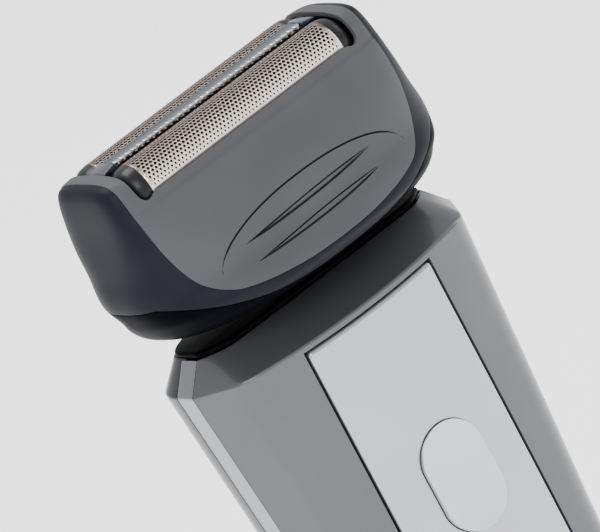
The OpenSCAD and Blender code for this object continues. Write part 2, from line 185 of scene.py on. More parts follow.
def foil_painted_shade_metal():
    """Warm foil with painted shade: darker brown along the crest, bright down its sides."""
    # painted shade: the foil's colour goes dark brown where its normal turns up over the crest
    return shaded_metal("foil_warm_painted_shade", "Normal", "Y", 0.50, 0.94, (0.21, 0.155, 0.125),
                        (1.0, 0.92, 0.83), 0.30, (0.2, 1, 1), 1400, 0.10)


def comb_painted_highlight_metal():
    """Blue-grey steel with streaks along its length and painted highlights on the teeth."""
    # painted highlight: the colour turns bright steel past 1.25 mm out from the middle, on the teeth
    return shaded_metal("comb_steel_painted_highlight", "Object", "Y", 0.00125, 0.00150, (0.15, 0.18, 0.225),
                        (0.78, 0.78, 0.80), 0.26, (0.05, 1, 1), 2200, 0.45)


MAT = {
    "frame": plastic("charcoal_satin", (0.062, 0.0625, 0.067), 0.58, grain=7000, bump=0.12,
                     shine=0.25),
    # painted shade: near-black colour for the faces cut by the grooves
    "groove": plastic("groove_painted_shade", (0.006, 0.006, 0.007), 0.6, bump=0.05, shine=0.1),
    "shell": plastic("blue_grey_satin", (0.0095, 0.0105, 0.0145), 0.44, grain=6000, shine=0.08),
    "base": plastic("black_satin", (0.0012, 0.0014, 0.0025), 0.40, bump=0.02, shine=0.012),
    "collar": plastic("collar_satin", (0.0015, 0.0015, 0.002), 0.35, bump=0.02, shine=0.02),
    "body": plastic("gunmetal_lacquer", (0.078, 0.079, 0.086), 0.30, spread=0.05, grain=9000,
                    bump=0.02, coat=0.35, coat_rough=0.07, metallic=0.45),
    "band": plastic("silver_lacquer", (0.20, 0.205, 0.22), 0.22, spread=0.04, grain=9000, bump=0.02,
                    coat=0.4, coat_rough=0.05, metallic=0.85),
    "panel": plastic("panel_silver", (0.40, 0.405, 0.425), 0.30, spread=0.03, grain=9000, bump=0.02,
                     coat=0.3, coat_rough=0.08, metallic=0.8),
    "button": plastic("button_silver", (0.50, 0.51, 0.53), 0.24, spread=0.03, bump=0.02, coat=0.4,
                      metallic=0.85),
    "cover": plastic("rear_black", (0.006, 0.0065, 0.009), 0.28, bump=0.03, coat=0.3, shine=0.3),
    "cap": plastic("base_black", (0.010, 0.0105, 0.013), 0.45, bump=0.12),
    "lens": plastic("lens_green", (0.30, 0.62, 0.42), 0.12, bump=0.0, coat=0.8, coat_rough=0.03),
    "rubber": plastic("seal_rubber", (0.02, 0.02, 0.022), 0.7, bump=0.15, grain=3000),
    "chassis": plastic("chassis_grey", (0.06, 0.065, 0.075), 0.5, bump=0.1),
    "carriage": plastic("carriage_black", (0.012, 0.012, 0.014), 0.4, bump=0.06),
    "bridge": plastic("acetal_white", (0.72, 0.72, 0.67), 0.4, bump=0.05),
    "battery": plastic("battery_sleeve", (0.08, 0.24, 0.12), 0.3, bump=0.03, coat=0.4),
    "board": plastic("board_green", (0.03, 0.14, 0.06), 0.4, bump=0.05, coat=0.3),
    "cassette": plastic("cassette_dark", (0.0075, 0.008, 0.010), 0.36, bump=0.03, coat=0.12,
                        coat_rough=0.2, shine=0.2),
    "foil": foil_painted_shade_metal(),
    "steel": metal("ground_steel", (0.52, 0.54, 0.58), 0.28, stretch=(1, 0.1, 1), scale=2200),
    # painted shade: the cutters are made near black to stand for the shadow under the foils
    "cutter": metal("cutter_steel_painted_shade", (0.035, 0.033, 0.032), 0.5, stretch=(1, 0.1, 1), scale=2200),
    "comb": comb_painted_highlight_metal(),
    "trim_block": plastic("trimmer_blue", (0.014, 0.023, 0.042), 0.28, bump=0.03, coat=0.4,
                          coat_rough=0.10),
    "brass": metal("contact_brass", (0.66, 0.54, 0.30), 0.3),
    "copper": metal("coil_copper", (0.62, 0.28, 0.12), 0.32, stretch=(1, 1, 0.08), scale=1800),
    "slide": plastic("slide_black", (0.016, 0.0165, 0.020), 0.42, bump=0.10),
}

# ---- mesh helpers


def face_outwards(mesh, core):
    """Turns a mesh so that its faces look away from the core point (millimetres)."""
    total = 0.0
    centre = Vector(core) * MM
    for poly in mesh.polygons:
        total += poly.area * poly.normal.dot(poly.center - centre)
    if total < 0:
        mesh.flip_normals()


def make_object(name, verts, faces, core=(0, 0, 0)):
    """verts in millimetres."""
    mesh = bpy.data.meshes.new(name)
    mesh.from_pydata([tuple(v) for v in np.asarray(verts, float) * MM], [], faces)
    mesh.validate()
    face_outwards(mesh, core)
    mesh.shade_smooth()
    obj = bpy.data.objects.new(name, mesh)
    scene.collection.objects.link(obj)
    return obj


def grid_faces(rows, cols, closed, keep=None):
    """Quads between rows of points; a closed grid joins its last column to its first."""
    faces = []
    for j in range(rows - 1):
        for i in range(cols if closed else cols - 1):
            k = (i + 1) % cols
            if keep is None or keep(j, i):
                faces.append((j * cols + i, j * cols + k, (j + 1) * cols + k, (j + 1) * cols + i))
    return faces


def solidify(obj, thickness, bevel=0.12, segments=2):
    """Inward wall, then a small round on its open edges."""
    wall = obj.modifiers.new("wall", "SOLIDIFY")
    wall.thickness = thickness * MM
    wall.offset = -1.0
    wall.use_even_offset = True
    wall.use_quality_normals = True
    soften(obj, bevel, segments)


def soften(obj, width, segments=2, angle=45):
    round_edge = obj.modifiers.new("round", "BEVEL")
    round_edge.width = width * MM
    round_edge.segments = segments
    round_edge.limit_method = "ANGLE"
    round_edge.angle_limit = math.radians(angle)
    round_edge.harden_normals = False


def weigh(obj):
    weighted = obj.modifiers.new("normals", "WEIGHTED_NORMAL")
    weighted.keep_sharp = True
    weighted.weight = 60


def cut(obj, tool):
    cutter = obj.modifiers.new("cut", "BOOLEAN")
    cutter.operation = "DIFFERENCE"
    cutter.solver = "EXACT"
    cutter.object = tool
    bpy.context.view_layer.update()
    graph = bpy.context.evaluated_depsgraph_get()
    mesh = bpy.data.meshes.new_from_object(obj.evaluated_get(graph))
    obj.modifiers.clear()
    obj.data = mesh
    bpy.data.objects.remove(tool)
    mesh.shade_smooth()
    mesh.set_sharp_from_angle(angle=CUT_SHARP)


def place(obj, body, slot, material, *nodes):
    obj.data.materials.clear()
    obj.data.materials.append(MAT[material])
    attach(obj, body)
    if nodes:
        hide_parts(*nodes)
    return obj


def join(name, parts):
    """Joins loose parts into one piece, modifiers applied."""
    bpy.context.view_layer.update()
    graph = bpy.context.evaluated_depsgraph_get()
    verts, faces = [], []
    for part in parts:
        mesh = part.evaluated_get(graph).to_mesh()
        base = len(verts)
        verts += [tuple(part.matrix_world @ v.co) for v in mesh.vertices]
        faces += [tuple(base + i for i in p.vertices) for p in mesh.polygons]
    for part in parts:
        bpy.data.objects.remove(part)
    mesh = bpy.data.meshes.new(name)
    mesh.from_pydata(verts, [], faces)
    mesh.shade_smooth()
    obj = bpy.data.objects.new(name, mesh)
    scene.collection.objects.link(obj)
    return obj


def block(low, high, bevel):
    """A box with rounded edges."""
    x0, y0, z0 = low
    x1, y1, z1 = high
    verts = [(x, y, z) for z in (z0, z1) for y in (y0, y1) for x in (x0, x1)]
    faces = [(0, 2, 3, 1), (4, 5, 7, 6), (0, 1, 5, 4), (2, 6, 7, 3), (0, 4, 6, 2), (1, 3, 7, 5)]
    obj = make_object("block", verts, faces, ((x0 + x1) / 2, (y0 + y1) / 2, (z0 + z1) / 2))
    if bevel:
        soften(obj, bevel, 3, 30)
    return obj


def smooth_rows(rows):
    """Monotone cubic curves through a table of rows, as a function of the first column."""
    table = np.array(rows, float)
    x, y = table[:, 0], table[:, 1:]
    h = np.diff(x)[:, None]
    slope = np.diff(y, axis=0) / h
    tangent = np.zeros_like(y)
    tangent[1:-1] = np.where(slope[1:] * slope[:-1] > 0,
                             2 * slope[1:] * slope[:-1] / (slope[1:] + slope[:-1] + 1e-12), 0)
    tangent[0], tangent[-1] = slope[0], slope[-1]

    def at(value):
        v = np.clip(np.asarray(value, float), x[0], x[-1])
        i = np.clip(np.searchsorted(x, v, side="right") - 1, 0, len(x) - 2)
        step = (x[i + 1] - x[i])
        t = ((v - x[i]) / step)[..., None]
        s = step[..., None]
        out = ((2 * t**3 - 3 * t**2 + 1) * y[i] + (t**3 - 2 * t**2 + t) * s * tangent[i]
               + (-2 * t**3 + 3 * t**2) * y[i + 1] + (t**3 - t**2) * s * tangent[i + 1])
        return np.moveaxis(out, -1, 0)
    return at


def even(points, count):
    """Points at equal distances along a polyline."""
    points = np.asarray(points, float)
    steps = np.linalg.norm(np.diff(points, axis=0), axis=1)
    along = np.concatenate([[0], np.cumsum(steps)])
    wanted = np.linspace(0, along[-1], count)
    return np.stack([np.interp(wanted, along, points[:, k]) for k in range(points.shape[1])], 1)


# ---- the head's outer form

HEAD_BOTTOM = -26.8  # all heights on the head count from HEAD_Z
SADDLE_FROM, SADDLE_RISE, SADDLE_HALF = -3.4, 6.0, 10.9
SADDLE_SLOPE = 5.5
CREASE, CREASE_SHARE = 0.9, 0.35  # width and strength of the round where the two forms meet
CORE_X, CORE_Z = 14.0, -12.0  # the rays that shape the head start on this line
ARCH_R = 14.0
BASE_CORE_X, BASE_CORE_Z = 9.0, -17.0
FAR = 1000.0
NEAREST, FARTHEST = 0.05, 6.0  # ends of the search along a ray, in ray lengths
DEEPEST = 30.0  # farther out than any point of the front face
BISECTIONS, EDGE_BISECTIONS = 36, 40

# height, half width, half depth, squareness in front, squareness behind
head_at = smooth_rows([
    (HEAD_BOTTOM, 11.5, 6.4, 2.4, 2.1), (-26.3, 17.6, 10.4, 2.6, 2.2),
    (-25.4, 23.1, 15.1, 2.3, 2.3), (-24.2, 26, 17.4, 2.4, 2.35),
    (-22.6, 27.3, 18.5, 2.45, 2.3), (-20.5, 28.4, 17.7, 2.8, 2.1),
    (-17, 29.3, 15.6, 2.95, 2.65), (-12, 28.3, 14.7, 3.6, 3.3), (-6, 27.3, 12.5, 5.3, 4.9),
    (-1, 26.8, 10.35, 6.7, 5.8), (2, 26.2, 9.25, 7.2, 6), (3.4, 25.5, 8.7, 7.2, 6.8),
])


def head_level(p):
    """Below zero inside the head, for points in an array of shape (..., 3)."""
    x, y, z = p[..., 0], p[..., 1], p[..., 2]
    a, f, n_front, n_back = head_at(z)
    n = np.where(y < 0, n_front, n_back)
    side = (((np.abs(x) / a) ** n + (np.abs(y) / f) ** n) ** (1 / n) - 1) * f
    rise = z - SADDLE_FROM
    across, up = np.abs(y) / SADDLE_HALF, np.maximum(rise, 0) / SADDLE_RISE
    arch = ((across**3 + up**3) ** (1 / 3) - 1) * SADDLE_SLOPE + np.minimum(rise, 0)
    crease = np.exp(-np.abs(side - arch) / CREASE * 2) * CREASE * CREASE_SHARE
    return np.maximum(np.maximum(side, arch) + crease, HEAD_BOTTOM - z)


def wrap(points, core_x=CORE_X, core_z=CORE_Z):
    """Moves points along rays from the head's core onto its outer form."""
    p = np.asarray(points, float)
    core = np.stack([np.clip(p[..., 0], -core_x, core_x), np.zeros(p.shape[:-1]),
                     np.full(p.shape[:-1], core_z)], -1)
    ray = p - core
    low, high = np.full(p.shape[:-1], NEAREST), np.full(p.shape[:-1], FARTHEST)
    for _ in range(BISECTIONS):
        mid = (low + high) / 2
        inside = head_level(core + ray * mid[..., None]) < 0
        low, high = np.where(inside, mid, low), np.where(inside, high, mid)
    return core + ray * low[..., None]


def wrap_flat(points):
    """Like wrap, but each point keeps its X."""
    return wrap(points, core_x=FAR)


def front_y(x, z):
    """Y of the head's front face at the given x and height."""
    x, z = np.broadcast_arrays(np.asarray(x, float), np.asarray(z, float))
    low, high = np.zeros(x.shape), np.full(x.shape, DEEPEST)
    for _ in range(BISECTIONS):
        mid = (low + high) / 2
        inside = head_level(np.stack([x, -mid, z], -1)) < 0
        low, high = np.where(inside, mid, low), np.where(inside, high, mid)
    return -low


def on_front(xz, out=0.0):
    """3-D points on (or a little proud of) the front face from rows of x and height."""
    xz = np.asarray(xz, float)
    return np.stack([xz[:, 0], front_y(xz[:, 0], xz[:, 1]) - out, xz[:, 1]], 1)


def over_the_top(x, start, count):
    """Points over the arched top at one x, from the middle down to the start point in front."""
    first = math.atan2(start[2] - CORE_Z, -start[1])
    angle = np.linspace(math.pi / 2, first, count)
    arch = [np.full(count, x), -ARCH_R * np.cos(angle), CORE_Z + ARCH_R * np.sin(angle)]
    return wrap_flat(np.stack(arch, 1))


SADDLE_N = 40  # points from the middle of the top to the front
# right half of the parting line on the front face: x and height
OUTLINE = [(24.65, 0), (24.65, -4.5), (24.35, -9), (23.5, -13.1), (22.1, -16.6), (20, -19),
           (17.2, -20.5), (10.2, -21.8), (4.7, -22.25), (0, -22.35)]


def front_path(outline, samples):
    """Parting line from the right saddle's top, down the front side and along to the middle."""
    x, z = np.array(outline, float).T
    along = np.concatenate([[0], np.cumsum(np.hypot(np.diff(x), np.diff(z)))])
    curve = smooth_rows(np.stack([along, x, z], 1))
    down = on_front(np.stack(curve(np.linspace(0, along[-1], samples)), 1))
    return np.concatenate([over_the_top(x[0], down[0], SADDLE_N)[:-1], down])


def four_way(quarter):
    """Closed loop from its quarter (right side middle to front middle), mirrored left and back."""
    left = quarter[::-1] * [-1, 1, 1]
    front = np.concatenate([quarter, left[1:]])
    back = front[::-1] * [1, -1, 1]
    return np.concatenate([front, back[1:-1]])


def smooth_path(points):
    """A smooth polyline through a few points in the plane."""
    p = np.asarray(points, float)
    along = np.concatenate([[0], np.cumsum(np.linalg.norm(np.diff(p, axis=0), axis=1))])
    curve = smooth_rows(np.column_stack([along, p]))
    return np.stack(curve(np.linspace(0, along[-1], 12 * len(p))), 1)


SIDE_N, FRONT_N = 64, 96  # points on the side and the front of a quarter loop


def quarter_split(path, corner):
    """Samples a quarter path so that the corner is at the same index on every loop."""
    side, front = even(path[:corner + 1], SIDE_N + 1), even(path[corner:], FRONT_N + 1)
    return np.concatenate([side, front[1:]])


CORNER_X, CORNER_Z = 23.0, -14.5  # where the parting line turns from side to front
parting = front_path(OUTLINE, 120)
corner_at = int(np.argmin(np.abs(parting[:, 0] - CORNER_X) + np.abs(parting[:, 2] - CORNER_Z)))
OUTER_Q = quarter_split(parting, corner_at)
OUTER = four_way(OUTER_Q)


def ladder(start, end, levels):
    """Rows of points between two loops, at the given shares of the way."""
    shares = np.asarray(levels)[:, None, None]
    return start[None] * (1 - shares) + end[None] * shares


def lift(points):
    return np.asarray(points) + [0, 0, HEAD_Z]


# ---- foil frame

POCKET_X = FOIL_HALF + 2.8  # half length of the foil opening
LIP_Z = -1.8
POCKET_TOP_N, NOTCH_N, LIP_N = 30, 30, 60
NOTCH_CORNER = POCKET_TOP_N - 1 + 18  # index of the point between the side and the lip
# the notch at the end of the lip: distance in from the opening's end, and height
NOTCH = [(0, -0.3), (0.12, -1.3), (0.55, -2.05), (1.2, -2.4), (1.9, -2.3), (2.5, -1.95),
         (3.2, LIP_Z)]


def pocket_quarter():
    """The foil opening: over the saddle's inner edge, round a notch, then along the lip."""
    notch = on_front(even(smooth_path([(POCKET_X - inward, z) for inward, z in NOTCH]), NOTCH_N))
    lip_x = np.linspace(POCKET_X - NOTCH[-1][0], 0, LIP_N)
    lip = on_front(np.stack([lip_x, np.full(LIP_N, LIP_Z)], 1))
    top = over_the_top(POCKET_X, notch[0], POCKET_TOP_N)
    return np.concatenate([top[:-1], notch, lip[1:]])


def make_foil_frame():
    inner = four_way(quarter_split(pocket_quarter(), NOTCH_CORNER))
    levels = np.concatenate([[0, 0.012, 0.03], np.linspace(0.06, 0.9, 40),
                             [0.94, 0.97, 0.988, 0.997]])
    skin = wrap_flat(ladder(inner, OUTER, levels))
    obj = make_object("foil_frame_cover", lift(skin).reshape(-1, 3),
                      grid_faces(len(levels), len(OUTER), True), (0, 0, HEAD_Z + CORE_Z))
    solidify(obj, FRAME_WALL, 0.14, 3)
    return obj


def tube(points, radii, sides):
    """Closed tube with a radius at each point."""
    points = np.asarray(points, float)
    verts, faces = [], []
    count = len(points)
    for i, p in enumerate(points):
        forward = points[min(i + 1, count - 1)] - points[max(i - 1, 0)]
        forward = forward / np.linalg.norm(forward)
        side = np.cross(forward, [0, 1, 0.001])  # no tube here runs along this one
        side = side / np.linalg.norm(side)
        up = np.cross(side, forward)
        for s in range(sides):
            a = 2 * math.pi * s / sides
            verts.append(p + radii[i] * (math.cos(a) * side + math.sin(a) * up))
    for i in range(count - 1):
        for s in range(sides):
            t = (s + 1) % sides
            faces.append((i * sides + s, i * sides + t, (i + 1) * sides + t, (i + 1) * sides + s))
    faces.append(tuple(range(sides)))
    faces.append(tuple((count - 1) * sides + s for s in range(sides)))
    return make_object("tube", lift(verts), faces, lift(points.mean(0)))


GROOVE_SINK, GROOVE_SIDES, THINNEST = 0.02, 12, 0.04
ARC_N, ARC_TAPER, SPINDLE_N, SPINDLE_TAPER = 110, 14, 90, 6
ARC_LEFT, ARC_RIGHT, ARC_MIDDLE, ARC_HALF = -18.6, 18.8, 0.1, 19.0
ARC_FOOT, ARC_HEIGHT, ARC_POWER, ARC_RADIUS = -19.3, 7.7, 2.3, 0.15
SPINDLE_HALF = 0.40
SPINDLE_EDGES = ((1, 0.12), (-1, 0.18))  # upper and lower groove: side, radius
SPINDLE_TIPS = (((-13.7, -15.5), (13.2, -14.8)), ((-13.7, -18.55), (12.8, -17.95)))


def groove(xz, radius, taper):
    """A thin cutter along a line on the front face, thinning out at both ends."""
    t = np.linspace(0, 1, len(xz))
    radii = radius * np.clip(np.minimum(t, 1 - t) * taper, THINNEST, 1)
    tool = tube(on_front(xz, -GROOVE_SINK), radii, GROOVE_SIDES)
    # the cut faces take the dark groove material, painted shade in the grooves
    for material in ("frame", "groove"):
        tool.data.materials.append(MAT[material])
    tool.data.polygons.foreach_set("material_index", [1] * len(tool.data.polygons))
    return tool


def engrave(obj):
    """One arc and two tapered figures, each drawn by two fine grooves, cut into the front face."""
    x = np.linspace(ARC_LEFT, ARC_RIGHT, ARC_N)
    bow = (1 - np.abs((x - ARC_MIDDLE) / ARC_HALF) ** ARC_POWER) ** (1 / ARC_POWER)
    cut(obj, groove(np.stack([x, ARC_FOOT + ARC_HEIGHT * bow], 1), ARC_RADIUS, ARC_TAPER))
    t = np.linspace(0, 1, SPINDLE_N)
    half_w = SPINDLE_HALF * np.sin(math.pi * t ** 1.25) ** 0.9
    for (x0, z0), (x1, z1) in SPINDLE_TIPS:
        for edge, radius in SPINDLE_EDGES:
            xz = np.stack([x0 + (x1 - x0) * t, z0 + (z1 - z0) * t + edge * half_w], 1)
            cut(obj, groove(xz, radius, SPINDLE_TAPER))


frame_cover = make_foil_frame()
for material in ("frame", "groove"):
    frame_cover.data.materials.append(MAT[material])
engrave(frame_cover)
weigh(frame_cover)
groove_shade_index = [face.material_index for face in frame_cover.data.polygons]
place(frame_cover, "frame", "foil_frame", "frame", "foil_frame")
# place() leaves one material, so the painted shade in the grooves is put back
frame_cover.data.materials.append(MAT["groove"])
frame_cover.data.polygons.foreach_set("material_index", groove_shade_index)

# ---- head shell and head base


BASE_GAP = 0.16  # parting between head shell and head base
NECK_HALF_X, NECK_HALF_Y = 4.6, 5.3
EDGE_MIDDLE, EDGE_RISE, EDGE_POWER = -24.5, 5.7, 2.5
EDGE_HALF, EDGE_LEVEL_FROM = 26, 28
SPREAD_POWER, SPREAD_LEAST, SMOOTHING = 1.15, 0.25, 13


def shell_edge(x):
    """Height of the head shell's lower edge, which curves up towards both cheeks."""
    share = np.minimum(np.abs(x), EDGE_LEVEL_FROM) / EDGE_HALF
    return EDGE_MIDDLE + EDGE_RISE * share ** EDGE_POWER


def edge_loop(quarter_loop, drop):
    """The shell's lower edge, its angles spread to follow the parting line's."""
    theta_top = np.arctan2(-quarter_loop[:, 1], quarter_loop[:, 0])
    share = np.linspace(0, 1, len(quarter_loop))
    theta = np.minimum(share ** SPREAD_POWER * math.pi / 2,
                       np.maximum(theta_top, share * SPREAD_LEAST))
    theta = np.maximum.accumulate(theta)
    theta[-1] = math.pi / 2
    padded = np.pad(theta, SMOOTHING // 2, mode="reflect", reflect_type="odd")
    theta = np.convolve(padded, np.ones(SMOOTHING) / SMOOTHING, "valid")
    points = []
    for t in theta:
        lo, hi = 0.0, 40.0
        for _ in range(EDGE_BISECTIONS):
            mid = (lo + hi) / 2
            x, y = mid * math.cos(t), -mid * math.sin(t)
            z = shell_edge(x) + drop
            if head_level(np.array([x, y, z])) < 0:
                lo = mid
            else:
                hi = mid
        x, y = lo * math.cos(t), -lo * math.sin(t)
        points.append((x, y, shell_edge(x) + drop))
    return np.array(points)


def make_head_shell():
    lower = four_way(edge_loop(OUTER_Q, 0.0))
    start = np.array([0.006, 0.014, 0.026, 0.045, 0.07, 0.1])
    levels = np.concatenate([start, np.linspace(0.14, 0.93, 30), [0.96, 0.98, 0.993, 1.0]])
    skin = wrap(ladder(OUTER, lower, levels))
    obj = make_object("head_shell_cover", lift(skin).reshape(-1, 3),
                      grid_faces(len(levels), len(OUTER), True), (0, 0, HEAD_Z + CORE_Z))
    solidify(obj, HEAD_WALL, 0.12, 3)
    weigh(obj)
    return obj


def rect_quarter(half_x, half_y, z, count):
    path = np.array([(half_x, 0, z), (half_x, -half_y, z), (0, -half_y, z)], float)
    return even(path, count)


def make_head_base():
    top = four_way(edge_loop(OUTER_Q, -BASE_GAP))
    bottom = four_way(rect_quarter(NECK_HALF_X, NECK_HALF_Y, HEAD_BOTTOM, len(OUTER_Q)))
    levels = np.concatenate([[0, 0.01, 0.03], np.linspace(0.06, 1.0, 40)])
    skin = wrap(ladder(top, bottom, levels), BASE_CORE_X, BASE_CORE_Z)
    skin[-1] = bottom
    obj = make_object("head_base_cover", lift(skin).reshape(-1, 3),
                      grid_faces(len(levels), len(OUTER), True), (0, 0, HEAD_Z + BASE_CORE_Z))
    solidify(obj, HEAD_WALL, 0.10, 2)
    weigh(obj)
    return obj


place(make_head_shell(), "head", "head_shell", "shell", "head_shell")
place(make_head_base(), "head", "head_base", "base", "head_base")

# ---- foils

PITCH = 0.72  # between hole centres
HOLE_R, HOLE_SHRINK = 0.285, 0.125  # at the crest, and how much less at the edges
SKIRT = 1.7  # straight side below the arch
FOIL_SHEET = 0.08
SNAP = 0.34  # cells this close to an end reach it
ROW = PITCH * math.sin(math.radians(60))
ROWS, COLUMNS = 10, 28  # rows, and cells of a row, each side of the middle
RING = 12  # points round a cell and round its hole
CELL_END = 0.14  # cells centred this close to an end are left out
HOLES_TO = FOIL_HALF - 0.85  # perforated half length


def make_foil(side, name):
    """Hexagonal cells with a round hole each, bent over the arch."""
    apothem, corner = PITCH / 2, PITCH / math.sqrt(3)
    verts, faces = [], []
    index = {}

    def vert(x, s):
        if abs(x) > FOIL_HALF - SNAP:
            x = math.copysign(FOIL_HALF, x)
        key = (round(x, 3), round(s, 3))
        if key not in index:
            index[key] = len(verts)
            verts.append((x, s))
        return index[key]

    for k in range(-ROWS - 1, ROWS + 2):
        for i in range(-COLUMNS, COLUMNS + 1):
            cx, cs = (i + 0.5 * (k % 2)) * PITCH, k * ROW
            if abs(cx) > FOIL_HALF - CELL_END:
                continue
            ring = []
            for c in range(RING):
                reach = corner if c % 2 else apothem
                x = cx + reach * math.cos(c * math.pi / 6)
                s = cs + reach * math.sin(c * math.pi / 6)
                if abs(k) == ROWS + 1 and s * k > abs(k) * (abs(k) * ROW + 0.05):
                    s = math.copysign(FOIL_R * math.pi / 2 + SKIRT, k)
                ring.append(vert(x, s))
            if abs(k) <= ROWS and abs(cx) <= HOLES_TO:
                hole = HOLE_R - HOLE_SHRINK * (abs(k) / ROWS) ** 3
                inner = []
                for c in range(RING):
                    inner.append(len(verts))
                    verts.append((cx + hole * math.cos(c * math.pi / 6),
                                  cs + hole * math.sin(c * math.pi / 6)))
                for c in range(RING):
                    d = (c + 1) % RING
                    if ring[c] != ring[d]:
                        faces.append((ring[c], ring[d], inner[d], inner[c]))
            else:
                clean = [v for j, v in enumerate(ring) if v != ring[j - 1]]
                if len(clean) > 2:
                    faces.append(tuple(clean))
    bent = []
    for x, s in verts:
        angle = max(-math.pi / 2, min(math.pi / 2, s / FOIL_R))
        below = abs(s) - FOIL_R * math.pi / 2
        bent.append((x, side * FOIL_Y + FOIL_R * math.sin(angle),
                     FOIL_Z + FOIL_R * math.cos(angle) - max(0.0, below)))
    obj = make_object(name, bent, faces, (0, side * FOIL_Y, FOIL_Z))
    wall = obj.modifiers.new("wall", "SOLIDIFY")
    wall.thickness = FOIL_SHEET * MM
    wall.offset = -1.0
    return obj


place(make_foil(-1, "front_foil_sheet"), "front_foil_unit", "foils", "foil", "front_foil")
place(make_foil(1, "rear_foil_sheet"), "rear_foil_unit", "foils", "foil", "rear_foil")

# ---- foil cassettes with round end cheeks

CHEEK_N, CHEEK_DROP, CHEEK_POWER, CHEEK_FOOT = 18, 1.9, 1.1, 2.6
RAIL_HALF, RAIL_END, RAIL_TOP = 0.3, 2.4, 0.4  # long walls under the foil
FOOT_HALF, FOOT_X, FOOT_TOP = 1.4, 1.0, 1.5  # feet under the cheeks

def end_cheek(side, end):
    """A D-shaped dome that closes the foil's end."""
    x_in, x_out = FOIL_HALF + 0.03, box_mm("front_cassette")[1][0]
    reach = x_out - x_in
    t = np.linspace(0, 1, CHEEK_N)
    xs = x_in + reach * np.sin(t * math.pi / 2)
    radius = (FOIL_R - 0.05) - CHEEK_DROP * (1 - np.cos(t * math.pi / 2)) ** CHEEK_POWER
    angles = np.linspace(-math.pi / 2, math.pi / 2, 33)
    verts = []
    for x, r in zip(xs, radius):
        for a in angles:
            verts.append((end * x, side * FOIL_Y + r * math.sin(a), FOIL_Z + r * math.cos(a)))
        for a in (0.5, -0.5):
            verts.append((end * x, side * FOIL_Y + 2 * a * r, FOIL_Z - CHEEK_FOOT))
    cols = len(angles) + 2
    faces = grid_faces(len(xs), cols, True)
    last = (len(xs) - 1) * cols
    faces.append(tuple(range(cols)))
    faces.append(tuple(last + i for i in range(cols)))
    obj = make_object("cheek", verts, faces, (end * (x_in + 1), side * FOIL_Y, FOIL_Z))
    soften(obj, 0.25, 3, 50)
    return obj


def make_cassette(side, name):
    low, high = box_mm("front_cassette")
    half_y = FOIL_R - RAIL_HALF
    parts = [end_cheek(side, -1), end_cheek(side, 1)]
    for s in (-1, 1):
        y = side * FOIL_Y + s * (half_y - RAIL_HALF)
        parts.append(block((low[0] + RAIL_END, y - RAIL_HALF, low[2]),
                           (high[0] - RAIL_END, y + RAIL_HALF, FOIL_Z - RAIL_TOP), 0.08))
        x = s * (FOIL_HALF + FOOT_X)
        parts.append(block((x - FOOT_HALF, side * FOIL_Y - half_y, low[2]),
                           (x + FOOT_HALF, side * FOIL_Y + half_y, FOIL_Z - FOOT_TOP), 0.2))
    return join(name, parts)


place(make_cassette(-1, "front_cassette_body"), "front_foil_unit", "cassettes", "cassette",
      "front_cassette")
place(make_cassette(1, "rear_cassette_body"), "rear_foil_unit", "cassettes", "cassette",
      "rear_cassette")

# ---- centre trimmer


TEETH, TOOTH_STEPS = 32, 12
TOOTH_ROOT, TOOTH_REACH = 1.42, 0.70  # half width between the teeth, and their length
CHANNEL_HALF, EDGE_FROM = 1.75, 0.8  # profile points past EDGE_FROM follow the teeth
CAP_HALF, CAP_HEIGHT, CAP_SLOPE, CAP_LEAN = 2.1, 0.8, 0.45, 0.3
UNDER_HALF, UNDER_LOW, UNDER_HIGH = 1.3, 1.4, 0.7  # narrower block under the cap
STEM_FROM, STEM_HALF, STEM_TOP = 3.4, 0.45, 1.3
# across the comb: share of the half width, share of the height
COMB_PROFILE = np.array([
    (-1.0, 0.0), (-0.99, 0.7), (-0.74, 1.0), (-0.5, 0.86), (-0.2, 0.80), (0, 0.78), (0.2, 0.80),
    (0.5, 0.86), (0.74, 1.0), (0.99, 0.7), (1.0, 0.0),
])


def make_comb():
    """Comb plate: a shallow channel section with rounded teeth along both long edges."""
    low, high = box_mm("trimmer_comb")
    half_l = high[0]
    xs = np.linspace(-half_l, half_l, TEETH * TOOTH_STEPS + 1)
    share = (np.arange(len(xs)) % TOOTH_STEPS) / TOOTH_STEPS
    tooth = np.clip(0.5 - 0.5 * np.cos(2 * math.pi * share), 0, 1) ** 0.5
    verts = []
    for x, k in zip(xs, tooth):
        edge = TOOTH_ROOT + TOOTH_REACH * k
        for y, z in COMB_PROFILE:
            across = y * (edge if abs(y) > EDGE_FROM else CHANNEL_HALF)
            verts.append((x, across, low[2] + z * (high[2] - low[2])))
    cols = len(COMB_PROFILE)
    faces = grid_faces(len(xs), cols, True)
    faces.append(tuple(range(cols)))
    faces.append(tuple((len(xs) - 1) * cols + i for i in range(cols)))
    obj = make_object("trimmer_comb_plate", verts, faces, (0, 0, low[2]))
    obj.data.set_sharp_from_angle(angle=FORM_SHARP)
    return obj


